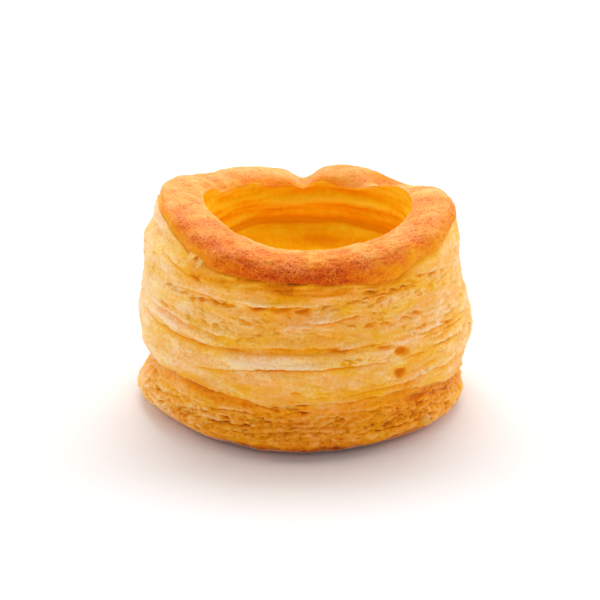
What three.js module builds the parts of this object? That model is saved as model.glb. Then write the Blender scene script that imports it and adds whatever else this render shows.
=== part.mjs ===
// A vol-au-vent case: one round case of baked puff pastry, empty and open at the top.
// Millimetres, +Z up. It stands on z = 0 with its box centred on the origin; -Y is the front.
//
// The case is one closed surface. Round the axis it follows the turn, an angle in degrees
// that starts at +X and passes the back at 90, the left at 180 and the front at 270. Along
// its section it runs from the middle of the underside, out under the foot, up the layered
// side, over the browned rim and down into the well to the middle of its floor. Nothing
// about a baked case is quite even, so each size is a mean plus a few named swells.

import * as THREE from 'three';
import { ParametricGeometry } from 'three/addons/geometries/ParametricGeometry.js';

// ---- driving dimensions, mm ----

const BASE_RADIUS = 28;          // flat middle of the underside, which the case rests on
const FOOT_SPREAD = 2.1;         // how far the bottom layers spread past the neck
const FOOT_HEIGHT = 2.8;         // height where the foot is widest
const FOOT_REACH = 3.6;          // how far up and down that spread fades
const FOOT_EDGE_ROUND = 1.7;     // the rounding of the foot's lower edge, in and up
const FOOT_LEAN = 0.4;           // the foot spreads this much more on the left, less on the right
const NECK_RADIUS = 33;          // upper side, under the shoulder
const NECK_LEAN = 0.4;           // the neck is this much fuller on the left
const BELLY_SWELL = 2.3;         // the widest layers, past the neck
const BELLY_LEAN = 0.6;          // the belly is this much fuller on the right
const BELLY_HEIGHT = 17.5;
const BELLY_REACH = 7.5;
const SHOULDER_DROP = 1.9;       // the top layers draw in again under the rim
const SHOULDER_START = 35;
const SHOULDER_END = 42;
const RIM_HEIGHT = 44;           // mean height of the rim's crown
const CROWN_RADIUS = 27.5;       // where the rim is highest
const LIP_RADIUS = 31.2;         // outer edge of the browned rim
const LIP_HEIGHT = 4.3;          // from the browned lip's lower edge up to the crown
const LIP_TUCK = 0.3;            // how far the lip's edge rolls up from the side's top layer
const LIP_FULLNESS = 0.8;        // below 1 the rim's outside is squarer than a quarter circle
const RIM_SAG = 1.7;             // how far the rim's inner edge lies below its crown
const WELL_RADIUS = 21.6;
const WELL_OFFSET = 0.9;         // the well sits a little to the right of the middle
const WALL_WAVE = 0.35;          // soft rings in the well's wall
const LEDGE_HEIGHT = 33;         // crease at the foot of the well's wall
const LEDGE_WIDTH = 1.5;
const LEDGE_DROP = 1.6;
const FLOOR_HEIGHT = 24.8;       // lowest point of the hollowed floor
const BOX_SHIFT = [0.25, 0.27]; // puts the middle of the uneven outline's box on the axis

const SLICES = 100;              // steps round the axis

// ---- small helpers; turns are in degrees ----

const radians = THREE.MathUtils.degToRad;
const lerp = THREE.MathUtils.lerp;
const ease = THREE.MathUtils.smoothstep;

// signed difference of two turns, from -180 to 180
function turnBetween(turn, other) {
  return THREE.MathUtils.euclideanModulo(turn - other + 180, 360) - 180;
}

// a bell of height 1 round a middle; it is down to a third at one width
function bell(value, middle, width) {
  return Math.exp(-(((value - middle) / width) ** 2));
}

// the same bell, round the case
function swell(turn, middle, width) {
  return Math.exp(-((turnBetween(turn, middle) / width) ** 2));
}

// low uneven wave round the case, between about -1 and 1; each seed gives another one
function ripple(turn, seed) {
  const angle = radians(turn);
  return 0.5 * Math.sin(3 * angle + 2.1 * seed)
    + 0.3 * Math.sin(7 * angle + 4.7 * seed)
    + 0.2 * Math.sin(13 * angle + 1.3 * seed);
}

// ---- how the case differs round the axis ----

// the rim rises to the left and right, sinks to the front, and is pinched at the back
function crownHeight(turn) {
  const angle = radians(turn);
  return RIM_HEIGHT + 1.85 * Math.cos(2 * angle) + 1.35 * Math.sin(angle) - 0.55 * Math.cos(angle)
    - 3.0 * swell(turn, 89.5, 6.5)
    - 0.9 * swell(turn, 98, 14)
    - 3.1 * swell(turn, 36, 20)
    - 1.4 * swell(turn, 142, 18)
    - 0.4 * swell(turn, 185, 25)
    - 0.8 * swell(turn, 325, 30);
}

// where the rim's top turns down into the well
function innerEdgeHeight(turn) {
  return crownHeight(turn) - RIM_SAG
    - 1.9 * swell(turn, 63, 12)
    - 0.9 * swell(turn, 108, 10)
    - 1.0 * swell(turn, 147, 10)
    + 1.2 * swell(turn, 89.5, 7)
    + 1.5 * swell(turn, 35, 12);
}

// lower edge of the browned lip, deepest at the front
function lipEdgeHeight(turn) {
  return crownHeight(turn) - LIP_HEIGHT
    + 1.9 * swell(turn, 200, 14)
    + 2.2 * swell(turn, 343, 13)
    - 1.3 * swell(turn, 243, 14)
    - 2.4 * swell(turn, 303, 16)
    - 1.0 * swell(turn, 270, 20);
}

function lipRadius(turn) {
  return LIP_RADIUS + 0.45 * Math.cos(radians(turn)) + 1.4 * swell(turn, 272, 50);
}

function wellRadius(turn) {
  return WELL_RADIUS + WELL_OFFSET * Math.cos(radians(turn)) + 0.25 * ripple(turn, 5);
}

// the case touches the table only well inside the foot's edge, which curls up
function footEdgeHeight(turn) {
  return 2.1 + 0.9 * swell(turn, 222, 16) + 0.6 * swell(turn, 322, 12) + 0.2 * ripple(turn, 2);
}

// the deep groove between the foot and the belly
function grooveHeight(turn) {
  return 10.4 + 1.9 * swell(turn, 214, 22) + 0.5 * swell(turn, 300, 25)
    - 3.5 * swell(turn, 5, 22) - swell(turn, 100, 40);
}

function grooveDepth(turn) {
  return 1.1 + swell(turn, 190, 35);
}

function grooveWidth(turn) {
  return 1.3 + 0.8 * swell(turn, 185, 35);
}

// the crease where the well's wall meets its floor
function ledgeHeight(turn) {
  return LEDGE_HEIGHT + 0.6 * ripple(turn, 4);
}

// ---- the layered side ----

// The large creases between layers. Each starts at one turn, sweeps on round the case
// and climbs from one height to another, with a bow upwards where it has one.
const CREASES = [
  { start: 234, sweep: 72, from: 17.4, to: 19.8, bow: 0.5, depth: 1.0 },
  { start: 300, sweep: 50, from: 19.6, to: 19.2, bow: 1.0, depth: 0.7 },
  { start: 205, sweep: 44, from: 26.4, to: 22.2, bow: -0.8, depth: 1.1 },
  { start: 243, sweep: 56, from: 22.6, to: 23.8, bow: 0.0, depth: 0.6 },
  { start: 246, sweep: 30, from: 31.8, to: 32.2, bow: 0.0, depth: 1.0 },
  { start: 205, sweep: 30, from: 39.4, to: 35.2, bow: -0.4, depth: 0.8 },
  { start: 278, sweep: 52, from: 32.2, to: 36.0, bow: 0.0, depth: 0.8 },
  { start: 296, sweep: 62, from: 13.4, to: 12.6, bow: 1.4, depth: 0.9 },
  { start: 208, sweep: 100, from: 5.6, to: 5.0, bow: 0.0, depth: 0.5 },
  { start: 150, sweep: 50, from: 16.2, to: 16.8, bow: 0.0, depth: 0.8 },
  { start: 345, sweep: 110, from: 15.8, to: 18.6, bow: 0.9, depth: 0.9 },
  { start: 70, sweep: 120, from: 22.4, to: 25.4, bow: -1.2, depth: 0.9 },
  { start: 330, sweep: 75, from: 26.0, to: 28.4, bow: 0.8, depth: 0.7 },
  { start: 30, sweep: 80, from: 33.4, to: 31.6, bow: 0.6, depth: 0.8 },
  { start: 120, sweep: 75, from: 30.6, to: 34.6, bow: 0.4, depth: 0.8 },
  { start: 40, sweep: 130, from: 4.6, to: 5.4, bow: 0.3, depth: 0.5 },
];
const CREASE_WIDTH = 0.9;
const CREASE_WAVE = 0.35;        // how far a crease wanders up and down

function creaseDepth(turn, height) {
  let depth = 0;
  CREASES.forEach((crease, index) => {
    const along = THREE.MathUtils.euclideanModulo(turn - crease.start, 360) / crease.sweep;
    if (along > 1) return;
    const arch = Math.sin(Math.PI * along);
    const middle = lerp(crease.from, crease.to, along) + crease.bow * arch
      + CREASE_WAVE * ripple(turn, index);
    depth += crease.depth * Math.sqrt(Math.max(arch, 0)) * bell(height, middle, CREASE_WIDTH);
  });
  return depth;
}

// soft dents and bulges all over the side, which drift round as they climb
function crumple(turn, height) {
  return 0.3 * ripple(turn + 4 * height, 1) + 0.2 * ripple(turn - 6 * height, 3);
}

// how far the rounding of the foot's lower edge still takes off at this height
function footRounding(turn, height) {
  const edge = footEdgeHeight(turn);
  return FOOT_EDGE_ROUND * (1 - ease(height, edge - FOOT_EDGE_ROUND, edge + FOOT_EDGE_ROUND));
}

function sideRadius(turn, height) {
  const towardsLeft = -Math.cos(radians(turn));
  return NECK_RADIUS + NECK_LEAN * towardsLeft
    + (BELLY_SWELL - BELLY_LEAN * towardsLeft) * bell(height, BELLY_HEIGHT, BELLY_REACH)
    + (FOOT_SPREAD + FOOT_LEAN * towardsLeft) * bell(height, FOOT_HEIGHT, FOOT_REACH)
    - footRounding(turn, height)
    - SHOULDER_DROP * ease(height, SHOULDER_START, SHOULDER_END)
    - grooveDepth(turn) * bell(height, grooveHeight(turn), grooveWidth(turn))
    - creaseDepth(turn, height)
    + crumple(turn, height);
}

// ---- the section, span by span; each gives [radius, height] at 0 to 1 along it ----

function underside(turn, along) {
  return [BASE_RADIUS * along, 0];
}

function undersideEdge(turn, along) {
  const edge = footEdgeHeight(turn);
  return [lerp(BASE_RADIUS, sideRadius(turn, edge), along), edge * along ** 2];
}

function foot(turn, along) {
  const height = lerp(footEdgeHeight(turn), grooveHeight(turn), along);
  return [sideRadius(turn, height), height];
}

function side(turn, along) {
  const height = lerp(grooveHeight(turn), lipEdgeHeight(turn), along);
  return [sideRadius(turn, height), height];
}

function lipUnderside(turn, along) {
  const height = lipEdgeHeight(turn);
  return [lerp(sideRadius(turn, height), lipRadius(turn), along), height + LIP_TUCK * along];
}

function outerRim(turn, along) {
  const swing = (Math.PI / 2) * along;
  const height = lipEdgeHeight(turn) + LIP_TUCK;
  return [
    lerp(CROWN_RADIUS, lipRadius(turn), Math.cos(swing) ** LIP_FULLNESS),
    lerp(height, crownHeight(turn), Math.sin(swing) ** LIP_FULLNESS),
  ];
}

function innerRim(turn, along) {
  const swing = (Math.PI / 2) * along;
  return [
    lerp(CROWN_RADIUS, wellRadius(turn), Math.sin(swing)),
    lerp(innerEdgeHeight(turn), crownHeight(turn), Math.cos(swing)),
  ];
}

function wall(turn, along) {
  return [
    wellRadius(turn) + WALL_WAVE * Math.sin(3 * Math.PI * along),
    lerp(innerEdgeHeight(turn), ledgeHeight(turn), along),
  ];
}

function ledge(turn, along) {
  return [wellRadius(turn) - LEDGE_WIDTH * along, ledgeHeight(turn) - LEDGE_DROP * along ** 2];
}

function floor(turn, along) {
  const [rimRadius, rimHeight] = ledge(turn, 1);
  const left = 1 - along;
  return [rimRadius * left, lerp(FLOOR_HEIGHT, rimHeight, left ** 2)];
}

const SPANS = [
  { rows: 1, at: underside },
  { rows: 2, at: undersideEdge },
  { rows: 7, at: foot },
  { rows: 22, at: side },
  { rows: 1, at: lipUnderside },
  { rows: 4, at: outerRim },
  { rows: 3, at: innerRim },
  { rows: 4, at: wall },
  { rows: 1, at: ledge },
  { rows: 4, at: floor },
];
const ROWS = SPANS.reduce((sum, span) => sum + span.rows, 0);

// turns a place on the unit square into a point of the case's surface
function casePoint(round, alongSection, target) {
  const turn = 360 * round;
  let row = alongSection * ROWS;
  let index = 0;
  while (row > SPANS[index].rows && index < SPANS.length - 1) {
    row -= SPANS[index].rows;
    index += 1;
  }
  const [radius, height] = SPANS[index].at(turn, Math.min(row / SPANS[index].rows, 1));
  target.set(
    BOX_SHIFT[0] + radius * Math.cos(radians(turn)),
    BOX_SHIFT[1] + radius * Math.sin(radians(turn)),
    height,
  );
}

const bakedPastry = new THREE.MeshStandardMaterial({
  color: '#e9ac5c',
  roughness: 0.6,
  metalness: 0,
});

const pastryCase = new THREE.Mesh(
  new ParametricGeometry(casePoint, SLICES, ROWS),
  bakedPastry,
);
pastryCase.name = 'pastry_case';

const group = new THREE.Group();
group.add(pastryCase);

export default group;
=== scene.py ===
"""A vol-au-vent case: a round, open case of baked puff pastry on a pale floor.

The visible case is three closed shells that overlap out of sight: the foot with the
underside, the layered side that hangs over the groove above the foot, and the browned top
with the well. A few loose flakes sit on them. All stand for the case's solid and ride on
its body.

Round the case a place is told by its turn, in degrees: 0 is +X, 90 the back, 180 the left
and 270 the front. Heights and radii are in millimetres until a mesh is written in metres.
"""

import math

import bmesh
import bpy
import numpy as np
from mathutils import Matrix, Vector


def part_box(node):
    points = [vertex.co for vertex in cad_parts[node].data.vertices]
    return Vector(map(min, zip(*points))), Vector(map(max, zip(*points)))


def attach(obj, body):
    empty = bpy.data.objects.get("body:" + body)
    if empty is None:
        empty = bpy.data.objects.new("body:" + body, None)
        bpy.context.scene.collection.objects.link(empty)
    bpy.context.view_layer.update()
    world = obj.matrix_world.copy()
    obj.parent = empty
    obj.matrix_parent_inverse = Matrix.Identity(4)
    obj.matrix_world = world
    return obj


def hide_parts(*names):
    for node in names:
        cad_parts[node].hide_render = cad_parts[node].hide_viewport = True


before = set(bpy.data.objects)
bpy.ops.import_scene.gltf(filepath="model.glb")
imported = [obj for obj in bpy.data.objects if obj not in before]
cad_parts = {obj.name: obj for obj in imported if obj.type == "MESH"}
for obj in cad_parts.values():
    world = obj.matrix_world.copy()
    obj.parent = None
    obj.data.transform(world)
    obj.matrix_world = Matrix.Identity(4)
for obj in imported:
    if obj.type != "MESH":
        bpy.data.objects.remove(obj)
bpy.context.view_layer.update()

case_low, case_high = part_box("pastry_case")

MM = 0.001
AXIS_SHIFT = Vector((0.25, 0.27, 0)) * MM    # from the middle of the case's box to its axis
AXIS = Vector((case_low[0] + case_high[0], case_low[1] + case_high[1], 0)) / 2 + AXIS_SHIFT

# ---- the case's main sizes, mm, most of them the solid's ----

BASE_RADIUS = 28
FOOT_SPREAD = 2.1
FOOT_HEIGHT = 2.8
FOOT_REACH = 3.6
FOOT_EDGE_HEIGHT = 2.1
FOOT_EDGE_ROUND = 1.7
FOOT_LEAN = 0.4
GROOVE_HEIGHT = 10.4
GROOVE_DEPTH = 1.1
GROOVE_WIDTH = 1.3
OVERHANG_DROP = 1.6              # from the layer's hanging edge down to the groove
NECK_RADIUS = 33
NECK_LEAN = 0.4
BELLY_SWELL = 2.3
BELLY_LEAN = 0.6
BELLY_HEIGHT = 17.5
BELLY_REACH = 7.5
SHOULDER_DROP = 1.9
SHOULDER_START = 35
SHOULDER_END = 42
RIM_HEIGHT = 44
RIM_SADDLE = 1.85                # how far the crown rises left and right, and sinks between
RIM_BACK_RISE = 1.35
RIM_LEAN = 0.55
CROWN_RADIUS = 27.5
LIP_HEIGHT = 4.3
LIP_OVERLAP = 0.5                # the browned lip reaches this far down inside the side
LIP_FULLNESS = 0.8
LIP_INSET = 0.2                  # on the left the browned skin ends inside the pale layer
RIM_SAG = 1.7
WELL_RADIUS = 21.6
WELL_OFFSET = 0.9
WELL_RIPPLE = 0.25
WALL_WAVE = 0.35
LEDGE_HEIGHT = 33
LEDGE_WIDTH = 1.5
LEDGE_DROP = 1.6
FLOOR_HEIGHT = 24.8

GIRTH = 2 * math.pi * 34         # once round the side
NOISE_ROWS = 101                 # rows of the random lattice before it repeats
NOISE_START = 17                 # the row that lies at height 0
NOISE_GAIN = 1.9                 # brings the noise up to about -1 to 1

# Where round the case an edge or a layer rises or sinks: the turn at the middle of the place,
# its half width in degrees and the rise.
CROWN_RISES = [
    (89.5, 6.5, -3.0), (98, 14, -0.9), (36, 20, -3.1), (142, 18, -1.4), (185, 25, -0.4),
    (325, 30, -0.8), (124, 22, -0.65), (168, 12, -0.4), (48, 10, -0.45), (78, 6, -0.3),
    (5, 15, -0.7), (106, 12, -0.25), (257, 24, -0.55),
]
INNER_EDGE_RISES = [(63, 12, -1.9), (108, 10, -0.9), (147, 10, -1.0), (89.5, 7, 1.2), (34, 19, 2.8)]
LIP_EDGE_RISES = [
    (200, 14, 3.0), (181, 10, 2.5), (345, 13, 1.2), (243, 14, -0.5), (299, 14, -1.3),
    (270, 20, -0.3), (260, 24, 0.75), (314, 6, 0.5),
]
FOOT_EDGE_RISES = [(221, 21, 1.9), (322, 12, 0.6), (208, 9, 0.4)]
GROOVE_RISES = [(214, 22, 1.9), (300, 25, 0.5), (5, 22, -3.5), (100, 40, -1.0)]
OVERHANG_RISES = [
    (221, 7, 0.9), (238, 12, 0.9), (298, 14, 0.3), (262, 8, -1.1), (335, 16, -1.9),
    (10, 20, -0.8),
]
LAYER_CLIMBS = [(196, 30, 1.9), (252, 30, -0.9), (332, 30, 0.9)]
# The same for the share by which the overhang and the groove are less bold.
OVERHANG_FADES = [(268, 15, 0.8), (316, 16, 0.45), (180, 24, 0.9)]
GROOVE_FADES = [(270, 18, 0.6), (318, 14, 0.3)]

# Where the case is fuller or slimmer than an even round: the turn and the height at the
# middle of the place, its half width in degrees, its half height and how far out it goes.
TRIMS = [
    (181, 44.2, 15, 1.5, -1.25), (184, 38.8, 14, 0.9, -0.5), (186, 32.0, 14, 0.9, -0.5),
    (182, 17.3, 14, 0.9, -0.7), (357, 38.8, 16, 0.9, 0.5), (192, 42.5, 34, 2.6, -0.8),
    (190, 39.2, 30, 1.3, -1.8), (182, 11.8, 30, 3.4, -2.2), (190, 3.0, 40, 4.0, -0.45),
    (224, 1.8, 20, 1.6, -0.8), (358, 42.0, 20, 2.2, 1.4), (352, 33.0, 24, 3.2, -0.6),
    (352, 25.3, 22, 1.0, 0.5), (352, 6.5, 20, 2.2, -0.35),
]
# Where the side is more golden than its creases make it, or paler: places as in TRIMS, the
# last value telling by how much.
GOLDEN_SPOTS = [
    (265, 22.9, 14, 1.0, 0.5), (232, 34.5, 8, 1.6, 0.35), (292, 14.2, 14, 1.0, 0.35),
    (313, 9.6, 9, 1.6, 0.35), (222, 14.6, 24, 1.2, 0.2), (316, 7.5, 26, 3.5, 0.4),
    (265, 33.4, 9, 0.8, 0.3), (230, 36.2, 5, 1.6, 0.4), (262, 20.5, 30, 1.8, -0.25),
    # On the next line, the spots at 303 and 302.3 are painted shade inside the two big hollows.
    (301, 35.8, 8, 1.4, 0.5), (303, 21.3, 2.6, 0.7, 0.6), (302.3, 17.0, 2.4, 0.8, 0.6),
]
# Paler left and right sides, as turn, half width and amount: a painted highlight where the side
# light falls.
PALE_SIDES = [(196, 40, -0.38), (335, 26, -0.15)]

# The creases between layers: the turn where each starts, how far it sweeps on round, its
# height at both ends, its bow upwards, its depth and how far it opens downwards.
CREASES = [
    (233, 67, 17.6, 19.7, 0.9, 0.8, 0.45),
    (198, 52, 24.0, 22.5, -0.8, 0.8, 0.6),
    (198, 50, 26.2, 24.2, 0.6, 0.4, 1.0),
    (250, 34, 23.2, 23.2, 0.2, 0.2, 0.9),
    (249.5, 24, 31.6, 31.4, 0.1, 1.3, 1.0),
    (221, 28, 32.3, 31.7, 0.0, 0.25, 0.5),
    (209, 26, 38.3, 34.6, -0.1, 0.4, 0.6),
    (276, 22, 22.9, 23.7, 0.2, 0.4, 0.4),
    (273, 16, 28.2, 29.1, 0.1, 0.8, 0.7),
    (284, 42, 32.0, 34.6, 0.3, 0.5, 0.5),
    (300, 46, 23.8, 22.4, 0.1, 0.4, 0.5),
    (308, 44, 22.3, 21.7, 0.1, 0.4, 0.5),
    (302, 50, 19.8, 20.0, 0.1, 0.5, 0.6),
    (280, 72, 13.6, 15.2, 0.7, 0.8, 1.0),
    (214, 42, 5.8, 6.6, 0.2, 0.5, 0.5),
    (203, 20, 7.0, 8.7, 0.1, 0.5, 0.5),
    (230, 24, 8.8, 8.9, 0.1, 0.5, 0.5),
    (286, 34, 5.1, 5.0, -0.1, 0.4, 0.4),
    (150, 56, 16.2, 17.4, 0.0, 0.8, 0.7),
    (345, 110, 15.8, 18.6, 0.9, 0.9, 0.8),
    (70, 120, 22.4, 25.4, -1.2, 0.9, 0.8),
    (345, 75, 26.0, 28.4, 0.8, 0.6, 0.6),
    (30, 80, 33.4, 31.6, 0.6, 0.9, 1.0),
    (120, 75, 30.6, 34.0, 0.4, 0.8, 0.9),
    (40, 130, 4.6, 5.4, 0.3, 0.5, 0.5),
]
CREASE_WAVE = 0.2
CREASE_REACH = 5                 # nothing of a crease is left this far above and below it

# Folds of smooth skin that lie over the layers: as a crease's first five values, then the
# fold's half height and how far it stands out.
FOLDS = [
    (251, 21, 32.3, 32.1, 0.0, 0.5, 0.3),
    (199, 46, 24.9, 23.2, 0.2, 1.0, 0.65),
    (238, 66, 20.6, 21.5, 0.2, 1.5, 0.35),
    (80, 90, 20.2, 22.4, 0.2, 1.6, 0.4),
    (10, 60, 29.8, 29.0, 0.6, 1.4, 0.4),
]

# Small hollows where bubbles broke: turn, height, half width in degrees, half height, depth.
HOLLOWS = [
    (303.0, 21.4, 2.6, 0.9, 0.9), (302.3, 17.1, 2.3, 1.1, 0.8), (231.0, 35.6, 2.2, 0.7, 0.5),
    (254.5, 31.1, 3.0, 0.5, 0.9), (262.0, 30.9, 3.0, 0.4, 0.5), (269.5, 30.8, 2.6, 0.4, 0.7),
    (293.0, 33.7, 2.4, 0.4, 0.7), (297.1, 32.1, 2.0, 0.3, 0.5), (287.5, 32.0, 2.8, 0.3, 0.5),
    (292.7, 27.1, 2.2, 0.4, 0.5), (297.1, 22.7, 3.0, 0.4, 0.6), (312.0, 9.8, 4.0, 0.7, 0.35),
    (301.5, 33.6, 1.8, 0.3, 0.5), (306.0, 33.8, 1.6, 0.3, 0.4), (309.5, 34.5, 2.4, 0.3, 0.5),
    (315.0, 34.9, 3.0, 0.3, 0.5), (321.0, 34.3, 3.0, 0.3, 0.4), (312.0, 27.5, 2.0, 0.4, 0.6),
    (306.5, 27.2, 2.4, 0.3, 0.4), (298.3, 27.0, 2.2, 0.3, 0.5),
    (280.0, 23.6, 2.4, 0.3, 0.4), (329.0, 23.4, 3.0, 0.3, 0.4), (313.5, 24.6, 3.0, 0.3, 0.4),
    (233.5, 31.2, 1.6, 0.4, 0.5), (225.0, 31.4, 2.0, 0.3, 0.4), (239.5, 31.0, 1.4, 0.4, 0.5),
    (244.5, 31.0, 1.8, 0.4, 0.5), (214.0, 27.4, 3.0, 0.4, 0.5), (250.0, 28.0, 2.6, 0.4, 0.5),
    (235.0, 26.7, 1.2, 0.3, 0.5), (239.5, 26.4, 1.2, 0.3, 0.4), (246.0, 28.6, 1.4, 0.3, 0.4),
    (257.0, 28.8, 1.4, 0.3, 0.3), (267.5, 14.8, 1.4, 0.4, 0.4), (260.0, 10.2, 1.6, 0.4, 0.4),
    (269.5, 10.0, 2.0, 0.3, 0.5), (275.5, 13.6, 1.6, 0.3, 0.4), (222.5, 6.4, 1.2, 0.4, 0.6),
    (226.0, 5.6, 1.0, 0.3, 0.6), (314.0, 7.8, 2.2, 0.6, 0.6), (330.0, 5.0, 1.8, 0.4, 0.6),
    (295.0, 8.8, 2.4, 0.4, 0.4), (300.0, 9.2, 1.8, 0.3, 0.4), (322.0, 9.0, 2.6, 0.4, 0.4),
]
# Patches where many tiny ones lie close: turn, height, half width, half height, how many.
PITTED = [
    (198, 33.0, 9, 3.6, 16), (216, 31.6, 6, 0.5, 9), (238, 31.2, 9, 0.5, 14),
    (236, 27.6, 9, 1.8, 16), (262, 26.5, 14, 2.2, 14), (279, 31.4, 6, 0.5, 12),
    (300, 29.5, 14, 3.4, 24),
    (320, 33.5, 12, 1.6, 14), (322, 24.5, 14, 2.0, 14), (292, 20.8, 10, 0.5, 12),
    (262, 10.8, 10, 0.9, 16), (240, 6.6, 18, 1.8, 46), (285, 6.8, 24, 1.8, 46),
    (322, 7.0, 14, 2.2, 24), (206, 6.6, 12, 2.0, 16), (90, 20.0, 110, 17, 150),
]

# Loose flakes: turn and height of the middle, half width in degrees, half height, how far
# the free edge stands out, and how much that edge slants up to the right.
FLAKES = [
    (228.2, 39.2, 2.8, 0.6, 1.3, 0.2), (232.2, 38.4, 1.3, 1.0, 1.2, -0.5),
    (315.0, 4.6, 2.2, 0.3, 1.3, 2.6),
    (20.0, 34.0, 4.0, 0.7, 0.7, 0.2), (48.0, 22.0, 5.0, 0.6, 0.6, -0.3),
    (75.0, 36.5, 4.5, 0.8, 0.9, 0.2), (98.0, 13.0, 4.0, 0.6, 0.6, 0.1),
    (120.0, 29.0, 5.0, 0.8, 0.8, -0.2), (148.0, 35.5, 3.5, 0.6, 0.6, 0.3),
    (160.0, 21.0, 4.5, 0.5, 0.5, 0.2), (350.0, 19.0, 3.5, 0.5, 0.4, 0.3),
]
FLAKE_THICKNESS = 0.14
FLAKE_GOLD = -0.1                # flakes are a little paler than the side
# The foot's crumb colour is painted shade and highlight: darker in its pores, paler on its tops.
FOOT_CONTRAST = 1.5              # the foot's coarse crumb shows more in its colour

# ---- small helpers ----

def lerp(start, end, share):
    return start + (end - start) * share


def ease(value, low, high):
    share = np.clip((value - low) / (high - low), 0, 1)
    return share * share * (3 - 2 * share)


def turn_between(turn, other):
    return (turn - other + 180) % 360 - 180


def bell(value, middle, width):
    return np.exp(-(((value - middle) / width) ** 2))


def swell(turn, middle, width):
    return bell(turn_between(turn, middle), 0, width)


def swells(turn, places):
    """What a list of places adds up to, each with its turn, half width and amount."""
    return sum(amount * swell(turn, around, width) for around, width, amount in places)


def spots(turn, height, places):
    """The same for places that have a height and a half height too."""
    return sum(amount * swell(turn, around, width) * bell(height, middle, tall)
               for around, middle, width, tall, amount in places)


def lean(turn):
    """1 on the left, -1 on the right."""
    return -np.cos(np.radians(turn))


def ripple(turn, seed):
    angle = np.radians(turn)
    return (0.5 * np.sin(3 * angle + 2.1 * seed)
            + 0.3 * np.sin(7 * angle + 4.7 * seed)
            + 0.2 * np.sin(13 * angle + 1.3 * seed))


def uneven(turn, height, length, tall, seed):
    """Smooth random relief from about -1 to 1, in patches length mm round by tall mm high."""
    around = max(3, round(GIRTH / length))
    slopes = np.random.default_rng(seed).uniform(0, 2 * math.pi, (around, NOISE_ROWS))
    across = (turn % 360) / 360 * around
    up = height / tall + NOISE_START
    column = np.floor(across).astype(int)
    row = np.floor(up).astype(int)
    total = np.zeros_like(across)
    for next_column in (0, 1):
        for next_row in (0, 1):
            slope = slopes[(column + next_column) % around, (row + next_row) % NOISE_ROWS]
            side = across - column - next_column
            rise = up - row - next_row
            weight = ease(1 - np.abs(side), 0, 1) * ease(1 - np.abs(rise), 0, 1)
            total += weight * (side * np.cos(slope) + rise * np.sin(slope))
    return total * NOISE_GAIN


def ragged(turn):
    """The small unevenness of a torn edge, mm."""
    return (0.16 * uneven(turn, turn * 0, 3.2, 1, 39) + 0.12 * uneven(turn, turn * 0, 1.3, 1, 38))


# ---- how the case differs round the axis ----

def crown_height(turn):
    angle = np.radians(turn)
    return (RIM_HEIGHT + RIM_SADDLE * np.cos(2 * angle) + RIM_BACK_RISE * np.sin(angle)
            - RIM_LEAN * np.cos(angle) + swells(turn, CROWN_RISES))


def inner_edge_height(turn):
    return crown_height(turn) - RIM_SAG + swells(turn, INNER_EDGE_RISES)


def lip_edge_height(turn):
    return crown_height(turn) - LIP_HEIGHT + swells(turn, LIP_EDGE_RISES)


def lip_radius(turn):
    """The browned skin ends flush with the side, but inside its pale layer on the left."""
    return (side_outline(turn, lip_edge_height(turn))
            - LIP_INSET * (swell(turn, 200, 30) + 5 * swell(turn, 181, 12)))


def well_radius(turn):
    calm_front = 1 - 0.8 * swell(turn, 285, 60)
    return (WELL_RADIUS + WELL_OFFSET * np.cos(np.radians(turn))
            + WELL_RIPPLE * ripple(turn, 5) * calm_front)


def foot_edge_height(turn):
    return (FOOT_EDGE_HEIGHT + swells(turn, FOOT_EDGE_RISES) + 0.25 * ripple(turn, 2)
            + 0.2 * uneven(turn, turn * 0, 4, 1, 76))


def groove_height(turn):
    return GROOVE_HEIGHT + swells(turn, GROOVE_RISES)


def groove_depth(turn):
    return GROOVE_DEPTH + swell(turn, 190, 35)


def groove_width(turn):
    return GROOVE_WIDTH + 0.8 * swell(turn, 185, 35)


def overhang_height(turn):
    """The ragged edge of the layer that hangs over the groove."""
    return (groove_height(turn) + OVERHANG_DROP + swells(turn, OVERHANG_RISES)
            + 0.25 * uneven(turn, turn * 0, 5, 1, 77) + 1.4 * ragged(turn))


def overhang_reach(turn):
    """How boldly that layer stands out: hardly at all on the left and in the front."""
    return 1 - swells(turn, OVERHANG_FADES)


def groove_share(turn):
    """How much of its full depth the groove has, less in the front."""
    return 1 - swells(turn, GROOVE_FADES)


def ledge_height(turn):
    return LEDGE_HEIGHT + 0.6 * ripple(turn, 4)


# ---- the layered side ----

LAP_DROP = 0.35                  # how far a layer hangs down over the crease below it
LAYER_GAP = 1.5                  # mean height of one thin layer
LAYER_DEPTH = 0.25               # how far one layer steps out past the next


def layer_height(turn, height):
    """Height measured along the layers, which sink to the front and climb to the sides."""
    climb = swells(turn, LAYER_CLIMBS) + 0.6 * ripple(turn, 7)
    return height - climb * ease(height, 4, 24)


def side_outline(turn, height):
    """Radius of the side without its creases and layers."""
    left = lean(turn)
    edge = foot_edge_height(turn)
    rounding = FOOT_EDGE_ROUND * (1 - ease(height, edge - FOOT_EDGE_ROUND,
                                           edge + FOOT_EDGE_ROUND))
    crumple = 0.3 * ripple(turn + 4 * height, 1) + 0.2 * ripple(turn - 6 * height, 3)
    crumple = crumple + spots(turn, height, TRIMS)
    return (NECK_RADIUS + NECK_LEAN * left
            + (BELLY_SWELL - BELLY_LEAN * left) * bell(height, BELLY_HEIGHT, BELLY_REACH)
            + (FOOT_SPREAD + FOOT_LEAN * left) * bell(height, FOOT_HEIGHT, FOOT_REACH)
            - rounding - SHOULDER_DROP * ease(height, SHOULDER_START, SHOULDER_END) + crumple)


def close_to(turn, height, start, sweep, first, last, bow):
    """The points that a crease or fold can reach."""
    along = (turn - start) % 360
    away = np.abs(height - (first + last + bow) / 2)
    return (along < sweep) & (away < CREASE_REACH + (abs(last - first) + abs(bow)) / 2)


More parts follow.
